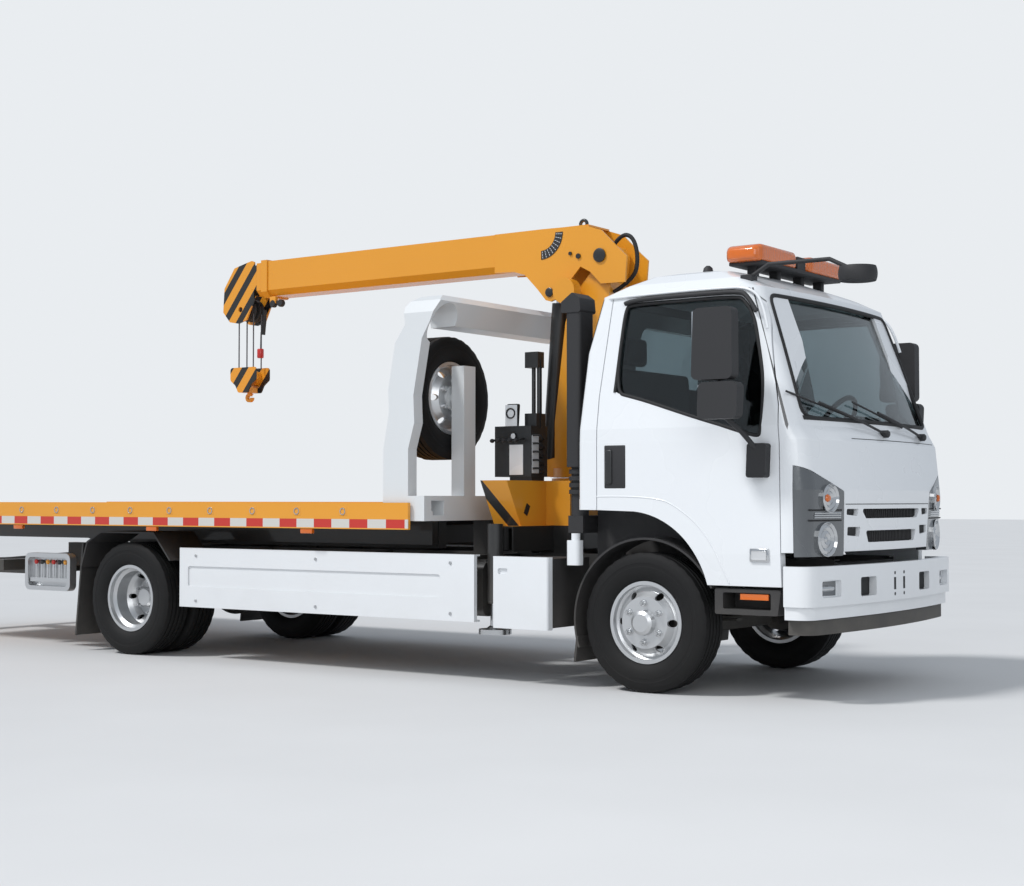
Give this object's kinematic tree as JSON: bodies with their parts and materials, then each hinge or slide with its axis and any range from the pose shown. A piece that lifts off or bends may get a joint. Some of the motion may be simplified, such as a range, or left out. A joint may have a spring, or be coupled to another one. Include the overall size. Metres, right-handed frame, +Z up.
{
  "type": "recovery truck",
  "caption": "White cab-over flatbed recovery truck with a yellow sliding bed, a telescopic crane stowed over it, a white gantry with spare wheel, and a wheel lift at the tail.",
  "frame": {"origin": "On the ground, at the middle of the truck's overall length and width.", "axes": "X forward along the truck, Y to its left, Z up."},
  "size_m": [8.53, 2.6, 2.9299],
  "materials": {
    "white_paint": "gloss",
    "yellow_paint": "gloss",
    "black_paint": "satin",
    "frame_black": "satin",
    "silver_paint": "satin",
    "tyre_rubber": "matte",
    "black_plastic": "matte",
    "amber_lens": "gloss",
    "lamp_lens": "gloss",
    "red_lens": "gloss",
    "tinted_glass": "gloss",
    "trim_fabric": "matte",
    "grey_plastic": "matte",
    "bright_steel": "satin",
    "wire_steel": "satin",
    "cast_metal": "matte"
  },
  "bodies": {
    "chassis": {"chassis_frame": "frame_black", "powertrain": "cast_metal", "front_axle": "frame_black", "rear_axle": "frame_black", "front_bumper": "white_paint", "side_boxes": "white_paint", "fuel_tank": "black_paint", "battery_boxes": "black_plastic", "mudguards": "black_plastic", "lever_station": "black_paint", "tail_lamps": "red_lens", "snorkel": "black_plastic", "gantry": "white_paint", "spare_tyre": "tyre_rubber", "spare_rim": "silver_paint", "crane_base": "yellow_paint", "valve_bank": "black_paint"},
    "cab": {"cab_shell": "white_paint", "cab_glass": "tinted_glass", "front_grille": "black_plastic", "headlamps": "lamp_lens", "seats": "trim_fabric", "dashboard": "grey_plastic", "light_bar": "amber_lens", "front_mirror": "black_plastic"},
    "column": {"crane_column": "yellow_paint"},
    "boom": {"boom_outer": "yellow_paint"},
    "mid_section": {"boom_mid": "yellow_paint"},
    "tip_section": {"boom_tip": "yellow_paint", "head_sheave": "cast_metal"},
    "rope_sling": {"hoist_ropes": "wire_steel"},
    "hook": {"hook_block": "yellow_paint"},
    "lift_cylinder": {"lift_barrel": "black_paint"},
    "lift_piston": {"lift_rod": "bright_steel"},
    "subframe": {"bed_subframe": "frame_black"},
    "bed": {"bed_deck": "yellow_paint"},
    "wheel_lift": {"underlift": "black_paint"},
    "tilt_cylinders": {"tilt_barrels": "black_paint"},
    "tilt_pistons": {"tilt_rods": "bright_steel"},
    "cab_door_right": {"door_right": "white_paint", "door_glass_right": "tinted_glass", "mirror_right": "black_plastic"},
    "steer_knuckle_right": {"knuckle_right": "cast_metal"},
    "front_wheel_right": {"tyre_front_right": "tyre_rubber", "rim_front_right": "silver_paint"},
    "rear_wheels_right": {"tyres_rear_right": "tyre_rubber", "rims_rear_right": "silver_paint"},
    "stabiliser_right": {"outrigger_beam_right": "black_paint"},
    "jack_right": {"outrigger_leg_right": "bright_steel"},
    "cab_door_left": {"door_left": "white_paint", "door_glass_left": "tinted_glass", "mirror_left": "black_plastic"},
    "steer_knuckle_left": {"knuckle_left": "cast_metal"},
    "front_wheel_left": {"tyre_front_left": "tyre_rubber", "rim_front_left": "silver_paint"},
    "rear_wheels_left": {"tyres_rear_left": "tyre_rubber", "rims_rear_left": "silver_paint"},
    "stabiliser_left": {"outrigger_beam_left": "black_paint"},
    "jack_left": {"outrigger_leg_left": "bright_steel"}
  },
  "joints": [
    {"name": "cab_tilt", "type": "hinge", "parent": "chassis", "child": "cab", "pos_m": [3.975, 0, 0.78], "axis": [0, 1, 0], "range_deg": [0, 45]},
    {"name": "door_right_hinge", "type": "hinge", "parent": "cab", "child": "cab_door_right", "pos_m": [3.822, -1.004, 1.2], "axis": [0, 0, 1], "range_deg": [0, 70]},
    {"name": "door_left_hinge", "type": "hinge", "parent": "cab", "child": "cab_door_left", "pos_m": [3.822, 1.004, 1.2], "axis": [0, 0, -1], "range_deg": [0, 70]},
    {"name": "steer_right", "type": "hinge", "parent": "chassis", "child": "steer_knuckle_right", "pos_m": [2.935, -0.72, 0.3985], "axis": [0, 0, 1], "range_deg": [-35, 35]},
    {"name": "steer_left", "type": "hinge", "parent": "chassis", "child": "steer_knuckle_left", "pos_m": [2.935, 0.72, 0.3985], "axis": [0, 0, 1], "range_deg": [-35, 35]},
    {"name": "front_spin_right", "type": "hinge", "parent": "steer_knuckle_right", "child": "front_wheel_right", "pos_m": [2.935, -0.84, 0.3985], "axis": [0, 1, 0], "continuous": true},
    {"name": "front_spin_left", "type": "hinge", "parent": "steer_knuckle_left", "child": "front_wheel_left", "pos_m": [2.935, 0.84, 0.3985], "axis": [0, 1, 0], "continuous": true},
    {"name": "rear_spin_right", "type": "hinge", "parent": "chassis", "child": "rear_wheels_right", "pos_m": [-1.24, -0.825, 0.3985], "axis": [0, 1, 0], "continuous": true},
    {"name": "rear_spin_left", "type": "hinge", "parent": "chassis", "child": "rear_wheels_left", "pos_m": [-1.24, 0.825, 0.3985], "axis": [0, 1, 0], "continuous": true},
    {"name": "crane_slew", "type": "hinge", "parent": "chassis", "child": "column", "pos_m": [1.885, 0, 1.24], "axis": [0, 0, 1], "continuous": true},
    {"name": "boom_luff", "type": "hinge", "parent": "column", "child": "boom", "pos_m": [2.13, 0, 2.66], "axis": [0, 1, 0], "range_deg": [0, 75]},
    {"name": "lift_barrel_swing", "type": "hinge", "parent": "column", "child": "lift_cylinder", "pos_m": [1.65, 0, 1.3], "axis": [0, 1, 0], "range_deg": [0, 1.5]},
    {"name": "lift_rod_stroke", "type": "slide", "parent": "lift_cylinder", "child": "lift_piston", "axis": [0.078, 0, 0.997], "range_m": [0, 0.538]},
    {"name": "boom_slide_first", "type": "slide", "parent": "boom", "child": "mid_section", "axis": [-1, 0, 0], "range_m": [0, 1.9]},
    {"name": "boom_slide_second", "type": "slide", "parent": "mid_section", "child": "tip_section", "axis": [-1, 0, 0], "range_m": [0, 1.9]},
    {"name": "hook_swing", "type": "hinge", "parent": "tip_section", "child": "rope_sling", "pos_m": [-1.105, 0, 2.53], "axis": [0, -1, 0], "range_deg": [-10, 75]},
    {"name": "hook_hoist", "type": "slide", "parent": "rope_sling", "child": "hook", "axis": [0, 0, -1], "range_m": [-0.15, 0.6], "deforming": ["hoist_ropes"]},
    {"name": "stabiliser_right_slide", "type": "slide", "parent": "chassis", "child": "stabiliser_right", "axis": [0, -1, 0], "range_m": [0, 0.55]},
    {"name": "stabiliser_left_slide", "type": "slide", "parent": "chassis", "child": "stabiliser_left", "axis": [0, 1, 0], "range_m": [0, 0.55]},
    {"name": "jack_right_slide", "type": "slide", "parent": "stabiliser_right", "child": "jack_right", "axis": [0, 0, -1], "range_m": [0, 0.26]},
    {"name": "jack_left_slide", "type": "slide", "parent": "stabiliser_left", "child": "jack_left", "axis": [0, 0, -1], "range_m": [0, 0.26]},
    {"name": "bed_tilt", "type": "hinge", "parent": "chassis", "child": "subframe", "pos_m": [-2.315, 0, 0.83], "axis": [0, -1, 0], "range_deg": [0, 10]},
    {"name": "bed_slide", "type": "slide", "parent": "subframe", "child": "bed", "axis": [-1, 0, 0], "range_m": [0, 3]},
    {"name": "tilt_barrel_swing", "type": "hinge", "parent": "chassis", "child": "tilt_cylinders", "pos_m": [-1.365, 0, 0.59], "axis": [0, -1, 0], "range_deg": [0, 17.18]},
    {"name": "tilt_rod_stroke", "type": "slide", "parent": "tilt_cylinders", "child": "tilt_pistons", "axis": [0.9678, 0, 0.2516], "range_m": [0, 0.1038]},
    {"name": "wheel_lift_tilt", "type": "hinge", "parent": "subframe", "child": "wheel_lift", "pos_m": [-2.515, 0, 0.64], "axis": [0, -1, 0], "range_deg": [-14, 0]}
  ],
  "couplings": [
    {"joint": "steer_left", "follows": "steer_right", "ratio": 1},
    {"joint": "lift_barrel_swing", "follows": "boom_luff", "ratio": 0.020062},
    {"joint": "lift_rod_stroke", "follows": "boom_luff", "m_per_rad": 0.41104},
    {"joint": "boom_slide_second", "follows": "boom_slide_first", "ratio": 1},
    {"joint": "tilt_barrel_swing", "follows": "bed_tilt", "ratio": 1.7175},
    {"joint": "tilt_rod_stroke", "follows": "bed_tilt", "m_per_rad": 0.59473}
  ]
}
